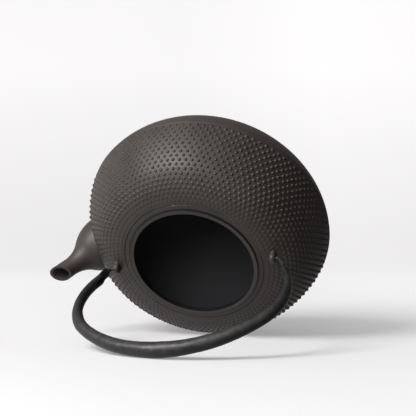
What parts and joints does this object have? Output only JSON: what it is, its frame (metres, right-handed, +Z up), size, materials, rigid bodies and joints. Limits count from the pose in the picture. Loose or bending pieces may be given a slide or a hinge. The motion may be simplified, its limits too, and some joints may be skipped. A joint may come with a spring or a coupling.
{
  "type": "cast iron teapot",
  "caption": "Low round cast iron kettle with rows of small dots, a short bulbous spout, two pierced ears and a hollow arched bail that swings over the open mouth.",
  "frame": {"origin": "centre of the kettle's flat base, on the surface it stands on", "axes": "+Z up along the body's axis out through the mouth; +X from the axis towards the spout; the bail's hinge line is parallel to X"},
  "size_m": [0.2019, 0.18, 0.1981],
  "materials": {
    "cast_iron": "matte warm black-brown lacquered casting skin",
    "enamel": "smooth black vitreous enamel, low gloss",
    "forged_iron": "satin black lacquer over hammered sheet iron, worn a little along the grip"
  },
  "bodies": {
    "kettle": {"body_shell": "cast_iron", "enamel_lining": "enamel", "spout": "cast_iron", "front_lug": "cast_iron", "rear_lug": "cast_iron"},
    "bail": {"handle_tube": "forged_iron", "front_hook": "forged_iron", "rear_hook": "forged_iron"}
  },
  "joints": [
    {"name": "bail_swing", "type": "hinge", "parent": "kettle", "child": "bail", "pos_m": [0, 0, 0.0995], "axis": [1, 0, 0], "range_deg": [-100, 100]}
  ]
}
